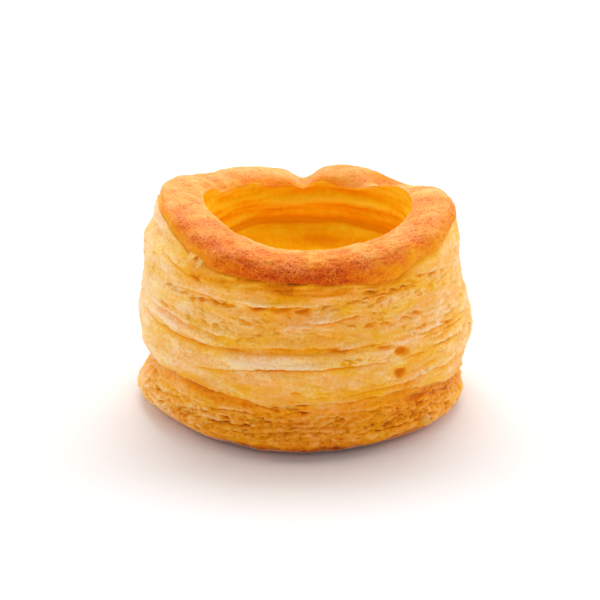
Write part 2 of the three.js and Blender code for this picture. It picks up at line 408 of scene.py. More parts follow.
def follow(turn, start, sweep, first, last, bow):
    """How strong a crease or fold is at a turn, 0 at its ends, and its height there."""
    along = ((turn - start) % 360) / sweep
    arch = np.sin(np.pi * np.clip(along, 0, 1))
    return np.sqrt(arch), lerp(first, last, along) + bow * arch


def undercut(height, middle, broad):
    """A crease 1 deep: it opens downwards from under the edge of the next layer."""
    below = np.exp(-np.maximum(middle - height, 0) / broad)
    return np.where(height < middle, below, bell(height, middle, 0.18))


def creases(turn, height):
    """Relief of the creases, how far layers hang over them and their painted shade and highlight.
    """
    relief = np.zeros_like(turn)
    drop = np.zeros_like(turn)
    gold_and_painted_shade = np.zeros_like(turn)
    for index, (*line, deep, broad) in enumerate(CREASES):
        near = close_to(turn, height, *line)
        here = turn[near]
        level = height[near]
        strength, middle = follow(here, *line)
        middle = (middle + CREASE_WAVE * ripple(here, index) + ragged(here)
                  + 0.25 * uneven(here, level * 0, 6, 1, 40 + index))
        strength = strength * (0.8 + 0.5 * uneven(here, level * 0, 4, 1, 90 + index))
        hollow = undercut(level, middle, broad)
        lip = bell(level, middle + 0.45, 0.35)
        relief[near] += deep * strength * (0.35 * lip - hollow)
        drop[near] += LAP_DROP * deep * strength * bell(level, middle + 0.3, 0.4)
        # Painted shade and highlight: the hollow and a thin shadow line just under the layer's edge
        # are coloured more golden, and the lip above it paler.
        seam = bell(level, middle - 0.12, 0.2)
        gold_and_painted_shade[near] += strength * (0.4 + 0.6 * deep) * (0.7 * hollow + 0.6 * seam - 0.25 * lip)
    return relief, drop, gold_and_painted_shade


def folds(turn, height):
    """How far the smooth folds stand out, and where they are."""
    relief = np.zeros_like(turn)
    smooth = np.zeros_like(turn)
    for index, (*line, half, rise) in enumerate(FOLDS):
        near = close_to(turn, height, *line)
        strength, middle = follow(turn[near], *line)
        middle = middle + 0.2 * uneven(turn[near], middle * 0, 6, 1, 120 + index)
        inside = ease(half * (0.5 + 0.5 * strength) - np.abs(height[near] - middle), 0, 0.6)
        relief[near] += rise * strength * inside
        smooth[near] = np.maximum(smooth[near], strength * inside)
    return relief, smooth


def scatter_pits():
    """The tiny hollows of the pitted patches, each as in HOLLOWS."""
    chance = np.random.default_rng(5)
    pits = []
    for turn, height, half, tall, count in PITTED:
        for pit in range(count):
            pits.append((turn + half * chance.uniform(-1, 1),
                         height + tall * chance.uniform(-1, 1), chance.uniform(0.5, 1.7),
                         chance.uniform(0.13, 0.3), chance.uniform(0.2, 0.5)))
    return pits


ALL_HOLLOWS = HOLLOWS + scatter_pits()


def hollows(turn, height):
    """Depth of the small hollows, where a bubble broke open."""
    depth = np.zeros_like(turn)
    for middle_turn, middle, half, tall, deep in ALL_HOLLOWS:
        near = ((np.abs(turn_between(turn, middle_turn)) < 2.5 * half)
                & (np.abs(height - middle) < 4 * tall + 0.3))
        away = turn_between(turn[near], middle_turn) / half
        bent = height[near] - middle - 0.15 * np.sin(2.5 * away + middle)
        reach = away ** 2 + (bent / np.where(bent > 0, 0.8 * tall, 1.2 * tall)) ** 2
        depth[near] += deep * np.exp(-reach ** 2.5)
        depth[near] -= 0.3 * deep * np.exp(-away ** 2) * bell(bent, 1.6 * tall, 0.5 * tall)
    return depth


def thin_layers(turn, height):
    """Relief of the thin layers: each one steps out over the next and thins away upwards."""
    level = layer_height(turn, height)
    place = (level / LAYER_GAP + 0.9 * uneven(turn, level, 20, 6, 11)
             + 0.4 * uneven(turn, level, 6, 2.2, 12) + 0.15 * uneven(turn, level, 2.2, 1.2, 14))
    share = place % 1
    line = -0.6 * np.exp(-(1 - share) / 0.15) + 0.25 * np.exp(-share / 0.16)
    right = swell(turn, 330, 26) * ease(height, 13, 16) * (1 - ease(height, 30, 34))
    back = ease(np.abs(turn_between(turn, 265)), 80, 100)
    patches = ease(uneven(turn, level, 13, 4.5, 13), 0.0, 0.8)
    showing = np.clip(0.15 + 0.75 * right + 0.6 * back * (0.4 + patches) + 0.55 * patches
                      + 0.5 * (1 - ease(height, 9, 12)), 0, 1.2)
    return LAYER_DEPTH * (0.5 - share + line) * showing


def crumb(turn, height):
    """Fine broken crumb, coarse and open in the foot, and fibres below the creases."""
    foot = (1 - ease(height, 8, 12)) * ease(height, 3.0, 4.2)
    porous = (np.abs(uneven(turn, height, 1.9, 0.9, 34))
              + np.abs(uneven(turn, height, 3.4, 1.4, 35)))
    cells = ease(uneven(turn, height, 1.5, 0.8, 21) + 0.5 * uneven(turn, height, 8, 4, 22),
                 0.75, 1.1)
    fibres = uneven(turn, height, 1.0, 3.5, 36) * (
        0.05 * ease(uneven(turn, height, 12, 5, 37), 0, 0.6)
        + 0.16 * swell(turn, 264, 13) * bell(height, 30.0, 1.3))
    pinholes = ease(uneven(turn, height, 0.9, 0.6, 38), 0.3, 0.8)
    return (foot * (0.34 * (0.5 - porous) - 0.3 * pinholes)
            - (0.25 + 0.15 * foot) * cells + fibres
            + 0.1 * uneven(turn, height, 2.3, 1.2, 33) + 0.06 * uneven(turn, height, 1.1, 0.6, 32))


def skin(turn, height):
    """What side and foot share: relief, drop, fine relief and how golden it is, painted shade
    included.
    """
    creased, drop, gold_and_painted_shade = creases(turn, height)
    folded, smooth = folds(turn, height)
    broken = hollows(turn, height)
    level = layer_height(turn, height)
    lumps = 0.22 * uneven(turn, level, 9, 3.4, 31) + 0.12 * uneven(turn, level, 4.5, 1.6, 30)
    calm = 1 - 0.5 * swell(turn, 198, 32) * ease(height, 12, 16)
    fine = (thin_layers(turn, height) + crumb(turn, height)) * (1 - 0.6 * smooth) * calm
    relief = creased + folded - broken + lumps + fine
    # Painted shade and highlight: the hollows are coloured more golden, the smooth folds paler, and
    # the lumps paler where they stand out and more golden where they sink.
    tint = gold_and_painted_shade + np.clip(1.25 * broken, -0.3, 0.9) - 0.25 * smooth - 0.7 * lumps
    return relief, drop, fine, tint


def side_surface(turn, height):
    """Radius and height of a point above the groove, its fine relief and how golden it is with its
    painted shade.
    """
    relief, drop, fine, gold_and_painted_shade = skin(turn, height)
    lip = overhang_reach(turn) * bell(height, overhang_height(turn) + 0.25, 0.4)
    under_top = ease(lip_edge_height(turn) - height, 0.1, 1.3)
    return (side_outline(turn, height) + relief * lerp(0.3, 1, under_top) + 0.1 * lip,
            height - drop - 0.25 * lip, fine, gold_and_painted_shade + 0.05 * lip)


def foot_surface(turn, height):
    """The same for a point of the foot, up into the groove under the overhang."""
    relief, drop, fine, gold_and_painted_shade = skin(turn, height)
    edge = overhang_height(turn)
    slot = overhang_reach(turn) * np.exp(-np.maximum(edge - height, 0) / 0.6)
    hollow = groove_share(turn) * bell(height, edge - 1.6, 1.5 * groove_width(turn))
    fade = 0.35 + 0.65 * ease(height, 0.8, 3.0)
    # Painted shade: the slot under the overhang and the groove are coloured more golden.
    return (side_outline(turn, height) + relief * fade - 0.5 * slot
            + 0.35 * uneven(turn, turn * 0, 3.2, 1, 77) * (1 - ease(height, 2.0, 5.0))
            - 0.75 * groove_depth(turn) * hollow, height - drop, fine,
            gold_and_painted_shade + slot + 0.8 * hollow)


CROWDING = 2.5                   # extra rows for each usual one where a crease is deepest
CROWD_STEPS = 200


def crowd(turn, share, low, high):
    """Heights from low to high in each slice, closer together where the creases are."""
    steps = np.linspace(0, 1, CROWD_STEPS)
    slices, first, which = np.unique(turn, return_index=True, return_inverse=True)
    heights = lerp(low[first][:, None], high[first][:, None], steps)
    turns = np.broadcast_to(slices[:, None], heights.shape)
    density = 1 + CROWDING * np.clip(creases(turns, heights)[2], 0, 1)
    total = np.cumsum(density, 1) - density / 2
    total = (total - total[:, :1]) / (total[:, -1:] - total[:, :1])
    apart = 2 * np.arange(len(slices))
    moved = np.interp(share + apart[which], (total + apart[:, None]).ravel(),
                      np.tile(steps, len(slices)))
    return lerp(low, high, moved)


# Each shell's slices round the case, and the rows in each span of its section.
FOOT_SLICES = 760
FOOT_SPANS = [("underside", 5), ("edge", 6), ("foot", 106), ("tuck", 4), ("hidden", 3)]
SIDE_SLICES = 620
SIDE_SPANS = [("hidden floor", 3), ("under", 5), ("side", 140), ("tuck", 4), ("hidden", 4)]

# Where the shells close out of sight, mm.
HUB_RADIUS = 2                   # the ring next to a hidden pole
FOOT_CAP_HEIGHT = 16
FOOT_TUCK = 1.2                  # how far the foot draws in behind the overhang
FOOT_TUCK_RISE = 0.9
SIDE_FLOOR_RADIUS = 27
SIDE_FLOOR_HEIGHT = 14
SIDE_FLOOR_GAP = 0.8             # how far that floor lies above the overhang's edge
SIDE_CAP_HEIGHT = 21.5
SIDE_CAP_RADII = [28.5, 25, 19, HUB_RADIUS]
SIDE_CAP_SINKING = [1, 0.42, 0.1, 0]
SIDE_CAP_SHARES = [0, 0.4, 0.7, 1]
SIDE_TUCK_RISE = 0.5


def row_count(spans):
    return sum(count for name, count in spans)


def join_spans(along, spans, makers):
    """One section from its spans: each maker gives its part for its share from 0 to 1."""
    row = along * row_count(spans)
    section = None
    first = 0
    for name, count in spans:
        made = makers[name](np.clip((row - first) / count, 0, 1))
        if section is None:
            section = made
        section = [np.where(row >= first - 1e-6, new, old) for new, old in zip(made, section)]
        first += count
    return section


def foot_section(turn, along):
    """The lowest shell, from under the foot up behind the overhang to its hidden cap."""
    edge = foot_edge_height(turn)
    top = overhang_height(turn)
    edge_radius, edge_height, edge_fine, edge_gold_and_painted_shade = foot_surface(turn, edge)
    top_radius, top_height, top_fine, top_gold_and_painted_shade = foot_surface(turn, top)
    return join_spans(along, FOOT_SPANS, {
        "underside": lambda share: (BASE_RADIUS * share, share * 0, share * 0, share * 0),
        "edge": lambda share: (lerp(BASE_RADIUS, edge_radius, share), edge_height * share ** 2,
                               edge_fine * share, edge_gold_and_painted_shade * share),
        "foot": lambda share: foot_surface(turn, crowd(turn, share, edge, top)),
        "tuck": lambda share: (top_radius - FOOT_TUCK * share,
                               top_height + FOOT_TUCK_RISE * share, top_fine, top_gold_and_painted_shade),
        "hidden": lambda share: (lerp(top_radius - FOOT_TUCK, HUB_RADIUS, share),
                                 lerp(top_height + FOOT_TUCK_RISE, FOOT_CAP_HEIGHT, share),
                                 top_fine, top_gold_and_painted_shade)})


def side_section(turn, along):
    """The layered shell, from its hidden floor over the overhang's edge up under the lip."""
    edge = overhang_height(turn)
    lip = lip_edge_height(turn)
    low_radius, low_height, low_fine, low_gold_and_painted_shade = side_surface(turn, edge)
    top_radius, top_height, top_fine, top_gold_and_painted_shade = side_surface(turn, lip)
    floor = edge + SIDE_FLOOR_GAP
    cap = top_height + SIDE_TUCK_RISE
    return join_spans(along, SIDE_SPANS, {
        "hidden floor": lambda share: (lerp(HUB_RADIUS, SIDE_FLOOR_RADIUS, share),
                                       lerp(SIDE_FLOOR_HEIGHT, floor, share),
                                       low_fine, low_gold_and_painted_shade),
        "under": lambda share: (lerp(SIDE_FLOOR_RADIUS, low_radius - 0.1, share),
                                lerp(floor, low_height, share ** 2), low_fine, low_gold_and_painted_shade),
        "side": lambda share: side_surface(turn, crowd(turn, share, edge, lip)),
        "tuck": lambda share: (lerp(top_radius, SIDE_CAP_RADII[0], share),
                               lerp(top_height, cap, share), top_fine, top_gold_and_painted_shade),
        "hidden": lambda share: (np.interp(share, SIDE_CAP_SHARES, SIDE_CAP_RADII),
                                 lerp(SIDE_CAP_HEIGHT, cap,
                                      np.interp(share, SIDE_CAP_SHARES, SIDE_CAP_SINKING)),
                                 top_fine, top_gold_and_painted_shade)})


# ---- the browned top ----

TOP_SLICES = 480
TOP_SPANS = [("back", 6), ("lip", 5), ("outer rim", 58), ("inner rim", 40), ("wall", 52),
             ("ledge", 10), ("floor", 34)]
TOP_BACK_RADIUS = 26.5           # where the hidden back of the upper shell turns up
TOP_BACK_HEIGHT = 20.5
TOP_BACK_GAP = 1.5               # how far below the lip's edge that is


def top_section(turn, along):
    """Radius and height of the upper shell, from its hidden back over the rim to the floor."""
    lip = (lip_edge_height(turn) - LIP_OVERLAP + 0.5 * swell(turn, 193, 36)
           + 0.2 * uneven(turn, turn * 0, 6, 1, 51))
    crown = crown_height(turn)
    inner = inner_edge_height(turn)
    crease = ledge_height(turn)
    well = well_radius(turn)
    reach = lip_radius(turn) + 0.08 + 0.05 * uneven(turn, turn * 0, 7, 1, 52)
    fullness = LIP_FULLNESS + 0.08 * swell(turn, 0, 32)

    def outer_rim(share):
        angle = share ** 1.4 * math.pi / 2
        height = lerp(lip, crown, np.sin(angle) ** fullness)
        dip = 0.25 * np.exp((lip - height) / 0.2)
        return lerp(CROWN_RADIUS, reach, np.cos(angle) ** fullness) - dip, height

    return join_spans(along, TOP_SPANS, {
        "back": lambda share: (lerp(HUB_RADIUS, TOP_BACK_RADIUS, share),
                               lerp(TOP_BACK_HEIGHT, lip - TOP_BACK_GAP, share ** 4)),
        "lip": lambda share: (lerp(TOP_BACK_RADIUS, reach - 0.5, share),
                              lerp(lip - TOP_BACK_GAP, lip - 0.2, share)),
        "outer rim": outer_rim,
        "inner rim": lambda share: (lerp(CROWN_RADIUS, well, np.sin(share * math.pi / 2)),
                                    lerp(inner, crown, np.cos(share * math.pi / 2))),
        "wall": lambda share: (well + WALL_WAVE * np.sin(3 * math.pi * share),
                               lerp(inner, crease, share)),
        "ledge": lambda share: (well - LEDGE_WIDTH * share, crease - LEDGE_DROP * share ** 2),
        "floor": lambda share: ((well - LEDGE_WIDTH) * (1 - share),
                                lerp(FLOOR_HEIGHT, crease - LEDGE_DROP, (1 - share) ** 2))})


def top_relief(turn, radius, height, in_well):
    """Soft lumps and fine wrinkles of the browned rim, and the rings in the well's wall."""
    across = height - radius
    soft = (0.22 * uneven(turn, across, 7, 4.5, 61) + 0.12 * uneven(turn, across, 3, 2.2, 62))
    wrinkles = (0.3 - np.abs(uneven(turn, across, 2.6, 1.5, 63))
                - 0.6 * np.abs(uneven(turn, across, 1.3, 0.8, 66)))
    wrinkled = 0.13 + 0.16 * swell(turn, 330, 30) + 0.14 * swell(turn, 265, 45)
    rings = (0.28 * uneven(turn, height, 24, 1.9, 64) + 0.12 * uneven(turn, height, 10, 0.9, 65)
             + 0.06 * uneven(turn, across, 2.2, 1.4, 67)
             - 0.5 * bell(height, ledge_height(turn) - 0.4, 0.5))
    angle = np.radians(turn)
    floor = 0.1 * uneven(radius * np.cos(angle) * 360 / GIRTH, radius * np.sin(angle),
                         4.5, 3.5, 68)
    rings = lerp(floor, rings, ease(radius, 6, 16))
    return lerp(soft + wrinkled * wrinkles, rings, in_well)


# ---- from drum to shell ----

def make_drum(slices, rings):
    """A closed round drum: its turn round the axis and its height give each point's place."""
    drum = bmesh.new()
    bmesh.ops.create_cone(drum, cap_ends=True, cap_tris=True, segments=slices,
                          radius1=1, radius2=1, depth=1)
    upright = [edge for edge in drum.edges
               if abs(edge.verts[0].co.z - edge.verts[1].co.z) > 0.5]
    bmesh.ops.subdivide_edges(drum, edges=upright, cuts=rings - 2, use_grid_fill=True)
    return drum


def lay_out(mesh, turn, along, pole, slices):
    """A UV map that unrolls the shell: round the case across, along its section up."""
    corner = np.empty(len(mesh.loops), np.int32)
    mesh.loops.foreach_get("vertex_index", corner)
    size = np.empty(len(mesh.polygons), np.int32)
    mesh.polygons.foreach_get("loop_total", size)
    face = np.repeat(np.arange(len(size)), size)
    across = turn[corner]
    known = ~pole[corner]
    lowest = np.full(len(size), 720.0)
    highest = np.full(len(size), -720.0)
    np.minimum.at(lowest, face[known], across[known])
    np.maximum.at(highest, face[known], across[known])
    split = (highest - lowest)[face] > 180
    across = np.where(split & (across < 180), across + 360, across)
    highest = np.where(highest - lowest > 180, lowest + 360, highest)
    low_side = np.where(split, highest[face] - 360 / slices, lowest[face])
    across = np.where(known, across, low_side + 180 / slices)
    unrolled = np.column_stack([across / (360 + 360 / slices), along[corner]])
    layer = mesh.uv_layers.new(name="OFBake")
    layer.data.foreach_set("uv", unrolled.astype(np.float32).ravel())


def make_piece(name, mesh, marks):
    """A smooth piece of the case from its mesh, with the values that its material reads."""
    for mark, values in marks.items():
        layer = mesh.attributes.new(name=mark, type="FLOAT", domain="POINT")
        layer.data.foreach_set("value", values.astype(np.float32))
    mesh.polygons.foreach_set("use_smooth", np.ones(len(mesh.polygons), bool))
    mesh.update()
    piece = bpy.data.objects.new(name, mesh)
    bpy.context.collection.objects.link(piece)
    return piece


def make_shell(name, slices, spans, shape):
    """Moves each point of a drum to where shape says, and keeps what shape says of it."""
    rings = row_count(spans) - 1
    drum = make_drum(slices, rings)
    start = np.array([vert.co for vert in drum.verts], float)
    pole = np.hypot(start[:, 0], start[:, 1]) < 0.5
    turn = np.degrees(np.arctan2(start[:, 1], start[:, 0])) % 360
    turn = np.round(turn * slices / 360) % slices * 360 / slices
    ring = (start[:, 2] + 0.5) * (rings - 1)
    along = np.where(pole, np.where(start[:, 2] < 0, 0, 1), (ring + 1) / (rings + 1))
    radius, height, marks = shape(turn, along)
    radius = np.where(pole, 0, radius)
    angle = np.radians(turn)
    places = np.column_stack([radius * np.cos(angle), radius * np.sin(angle), height]) * MM
    places += np.array(AXIS)
    mesh = bpy.data.meshes.new(name)
    drum.to_mesh(mesh)
    drum.free()
    mesh.vertices.foreach_set("co", places.astype(np.float32).ravel())
    lay_out(mesh, turn, along, pole, slices)
    return make_piece(name, mesh, marks)


def make_flakes(name):
    """Thin torn sheets: each grows from the side along its upper edge and stands off below."""
    sheets = bmesh.new()
    for index, (turn, height, half, tall, out, slant) in enumerate(FLAKES):
        made = bmesh.ops.create_grid(sheets, x_segments=22, y_segments=8, size=1)["verts"]
        faces = list({face for vert in made for face in vert.link_faces})
        grown = bmesh.ops.extrude_face_region(sheets, geom=faces, use_keep_orig=True)["geom"]
        outer = [vert for vert in grown if isinstance(vert, bmesh.types.BMVert)]
        for verts, thickness in ((made, 0), (outer, FLAKE_THICKNESS)):
            across = np.array([vert.co.x for vert in verts])
            hang = (1 - np.array([vert.co.y for vert in verts])) / 2
            tear = (0.25 + 0.75 * np.sqrt(1 - across ** 2)) * (
                1 + 0.4 * uneven(90 * across, across * 0, 18, 1, 130 + index))
            turns = turn + half * across * (1 - 0.3 * hang)
            heights = (height + tall - 2 * tall * hang * tear + slant * tall * across
                       + 0.3 * tall * uneven(60 * across, across * 0, 25, 1, 160 + index))
            radius = (side_surface(turns, heights)[0] - 0.2 + thickness
                      + out * (hang * tear) ** 1.4 + 0.2 * ease(hang, 0, 0.3))
            angle = np.radians(turns)
            for vert, x, y, z in zip(verts, radius * np.cos(angle), radius * np.sin(angle),
                                     heights):
                vert.co = AXIS + Vector((x, y, z)) * MM
    bmesh.ops.recalc_face_normals(sheets, faces=sheets.faces[:])
    mesh = bpy.data.meshes.new(name)
    sheets.to_mesh(mesh)
    sheets.free()
    level = np.zeros(len(mesh.vertices))
    return make_piece(name, mesh, {"fine": level, "gold_and_painted_shade": level + FLAKE_GOLD, "toast_and_painted_shade": level})


def side_looks(turn, height, fine, gold_and_painted_shade):
    """Where the side and foot are golden and where they are toasted, beyond their creases; painted
    shade at the crust's edge, under the overhang and on the seat's front is part of both.
    """
    foot = ease(height, 2.8, 4.6) * (1 - ease(height, 6.5, 10.5))
    seat = 1 - ease(height, 2.4, 4.2)
    front = swell(turn, 268, 50)
    below_lip = lip_edge_height(turn) - height
    under_lip = (swell(turn, 270, 34) * (1 - ease(below_lip, 1.5, 4.0))
                 * (1 + 0.9 * uneven(turn, height, 5, 0.9, 73)))
    seared = swell(turn, 276, 32) * (1 - ease(below_lip, 0.2, 1.6))
    # Painted shade where the side meets the crust: coloured more golden, and toasted on the left.
    painted_shade_at_lip = 1 - ease(below_lip, 0.0, 0.8)
    # Painted shade under the overhang on the left, coloured more golden.
    painted_shade_under_overhang = bell(height, overhang_height(turn) - 1.3, 1.3) * swell(turn, 230, 20)
    patches = (spots(turn, height, GOLDEN_SPOTS) + swells(turn, PALE_SIDES)
               + 0.15 * uneven(turn, height, 10, 2.4, 72))
    # The low foot and seat are browned from baking; the extra colour on the seat at the front is
    # painted shade on the foot's lowest edge.
    toast_and_painted_shade = ((0.62 * foot + 0.95 * seat) * (0.55 + 0.45 * front)
             - 0.5 * swell(turn, 318, 16) * bell(height, 8.8, 3.0)
             + 1.05 * under_lip + 0.5 * painted_shade_at_lip * swell(turn, 205, 40)
             + 0.12 * uneven(turn, height, 9, 4, 71))
    # Beside the side's own golden places, this carries the painted shade of creases, hollows, the
    # crust's edge, the overhang and the seat's front.
    golden = (gold_and_painted_shade + patches + seat * (0.6 + 0.7 * front) + 0.15 * foot * front
              + 0.4 * under_lip + 0.25 * seared + 0.5 * painted_shade_at_lip + 0.4 * painted_shade_under_overhang)
    return {"fine": fine, "gold_and_painted_shade": golden, "toast_and_painted_shade": np.clip(toast_and_painted_shade, 0, 1)}


def shape_foot(turn, along):
    radius, height, fine, gold_and_painted_shade = foot_section(turn, along)
    return radius, height, side_looks(turn, height, FOOT_CONTRAST * fine, gold_and_painted_shade)


def shape_side(turn, along):
    radius, height, fine, gold_and_painted_shade = side_section(turn, along)
    return radius, height, side_looks(turn, height, fine, gold_and_painted_shade)


def browning(turn, place):
    """How far the top is browned, with painted shade on the very bottom of the lip at the sides,
    and how smooth and deep its glaze; place runs from 0 at the lip over 1 at the crown to 2 inside."""
    place = place + 0.1 * uneven(turn, place * 6, 5, 2.5, 81)
    front = swell(turn, 276, 30)
    left = swell(turn, 228, 28)
    right = swell(turn, 332, 34)
    back = swell(turn, 90, 75)
    low = 1 - ease(place, 0.25, 0.8)
    sides = np.maximum(swell(turn, 208, 42), swell(turn, 320, 32))
    edge = 1.98 - 0.44 * swell(turn, 270, 50)
    left_edge = swell(turn, 208, 38) * (1 - ease(place, 0.25, 0.6))
    right_edge = swell(turn, 313, 26) * (1 - ease(place, 0.3, 0.6))
    brown_and_painted_shade = (0.16 + front * (0.52 * low * ease(place, 0.0, 0.15)
                             + 0.2 * (1 - ease(place, 0.8, 1.5)))
             + left * (0.17 + 0.1 * bell(place, 0.9, 0.4)) + right * 0.12
             + 0.3 * swell(turn, 47, 9) * bell(place, 1.2, 0.35)
             - 0.22 * left_edge - 0.36 * right_edge
             - 0.5 * swell(turn, 40, 22) * ease(place, 1.5, 1.8)
             - 0.55 * ease(place, edge - 0.22, edge) * (1 - back)
             # Painted shade: the very bottom of the lip is coloured darker on the sides.
             + 0.6 * sides * (1 - ease(place, 0.0, 0.08))
             + (0.06 + 0.14 * front) * uneven(turn, place * 6, 9, 4, 82)
             + (0.07 + 0.08 * front) * uneven(turn, place * 6, 3, 1.5, 83))
    glazed = (1 - ease(place, 0.15 + 0.25 * sides, 0.75 + 0.1 * sides) * (1 - 0.25 * front)
              * (1 - back * (1 - swell(turn, 40, 22)) * ease(place, 1.3, 1.8))
              * (1 - 0.8 * swell(turn, 52, 9) * bell(place, 1.0, 0.35)))
    return np.clip(brown_and_painted_shade, 0, 1), np.clip(glazed, 0, 1)


def shape_top(turn, along):
    spans = dict(TOP_SPANS)
    row = along * row_count(TOP_SPANS)
    lip_row = spans["back"] + spans["lip"]
    crown_row = lip_row + spans["outer rim"]
    inner_row = crown_row + spans["inner rim"]
    torn_rows = (3 * ease(uneven(turn, turn * 0, 5, 1, 84), -0.5, 0.8)
                 + 4 * ease(uneven(turn, turn * 0, 14, 1, 85), 0, 0.6)) * swell(turn, 90, 60)
    in_well = (row > inner_row + 0.5 - torn_rows).astype(float)
    radius, height = top_section(turn, along)
    step = 0.0015
    near_radius, near_height = top_section(turn, np.clip(along - step, 0, 1))
    far_radius, far_height = top_section(turn, np.clip(along + step, 0, 1))
    run = np.hypot(far_radius - near_radius, far_height - near_height) + 1e-9
    relief = top_relief(turn, radius, height, ease(row, inner_row - 6, inner_row + 2))
    relief = relief * ease(row, lip_row, lip_row + 16)
    relief = relief * (1 - 0.8 * bell(row, inner_row, 18) * swell(turn, 280, 70))
    radius = radius + relief * (far_height - near_height) / run
    height = height - relief * (far_radius - near_radius) / run
    place = (np.clip((row - lip_row) / spans["outer rim"], 0, 1)
             + np.clip((row - crown_row) / spans["inner rim"], 0, 1))
    brown_and_painted_shade, low = browning(turn, place)
    ledge_row = inner_row + spans["wall"]
    # The well's depth value for its colour: darker on the floor than on the wall, painted shade in
    # the corner at the ledge, a painted highlight in a paler ring near the floor's edge, and paler
    # near the top of the wall and on the back's pale skin.
    deep = (0.25 + 0.35 * ease(row, ledge_row - 2, ledge_row) + 0.2 * bell(row, ledge_row - 1, 3)
            - 0.04 * ease(row, ledge_row + 2, ledge_row + 9)
            - 0.18 * bell(row, ledge_row + 7, 4) - 0.25 * (1 - ease(row, inner_row, inner_row + 8))
            - 0.6 * swell(turn, 42, 24) * (1 - ease(row, inner_row, inner_row + 5)))
    return radius, height, {"brown_and_painted_shade": brown_and_painted_shade, "low": low, "well": in_well, "relief": relief,
                            "deep": deep}


# ---- materials ----

def linear(hex_colour):
    """An sRGB hex colour as linear red, green, blue and alpha."""
    parts = [int(hex_colour[place:place + 2], 16) / 255 for place in (1, 3, 5)]
    return [part / 12.92 if part <= 0.04045 else ((part + 0.055) / 1.055) ** 2.4
            for part in parts] + [1]


def add(tree, kind, inputs=None, stops=None, **settings):
    """Adds a node with its settings, its values or links, and a ramp's stops."""
    node = tree.nodes.new(kind)
    for name, value in settings.items():
        setattr(node, name, value)
    for socket, value in (inputs or {}).items():
        if isinstance(value, bpy.types.NodeSocket):
            tree.links.new(value, node.inputs[socket])
        else:
            node.inputs[socket].default_value = value
    if stops:
        ramp = node.color_ramp.elements
        while len(ramp) < len(stops):
            ramp.new(1)
        for stop, (place, colour) in zip(ramp, stops):
            stop.position = place
            stop.color = linear(colour)
    return node


def per(millimetres):
    """Noise scale, in metres of Object coordinates, for features of this size."""
    return 1000 / millimetres


def start_material(name):
    material = bpy.data.materials.new(name)
    material.use_nodes = True
    material.node_tree.nodes.clear()
    return material, material.node_tree


def add_up(tree, start, *weighted):
    """start plus each value times its weight."""
    total = start
    for value, weight in weighted:
        total = add(tree, "ShaderNodeMath", {0: value, 1: weight, 2: total},
                    operation="MULTIPLY_ADD").outputs[0]
    return total


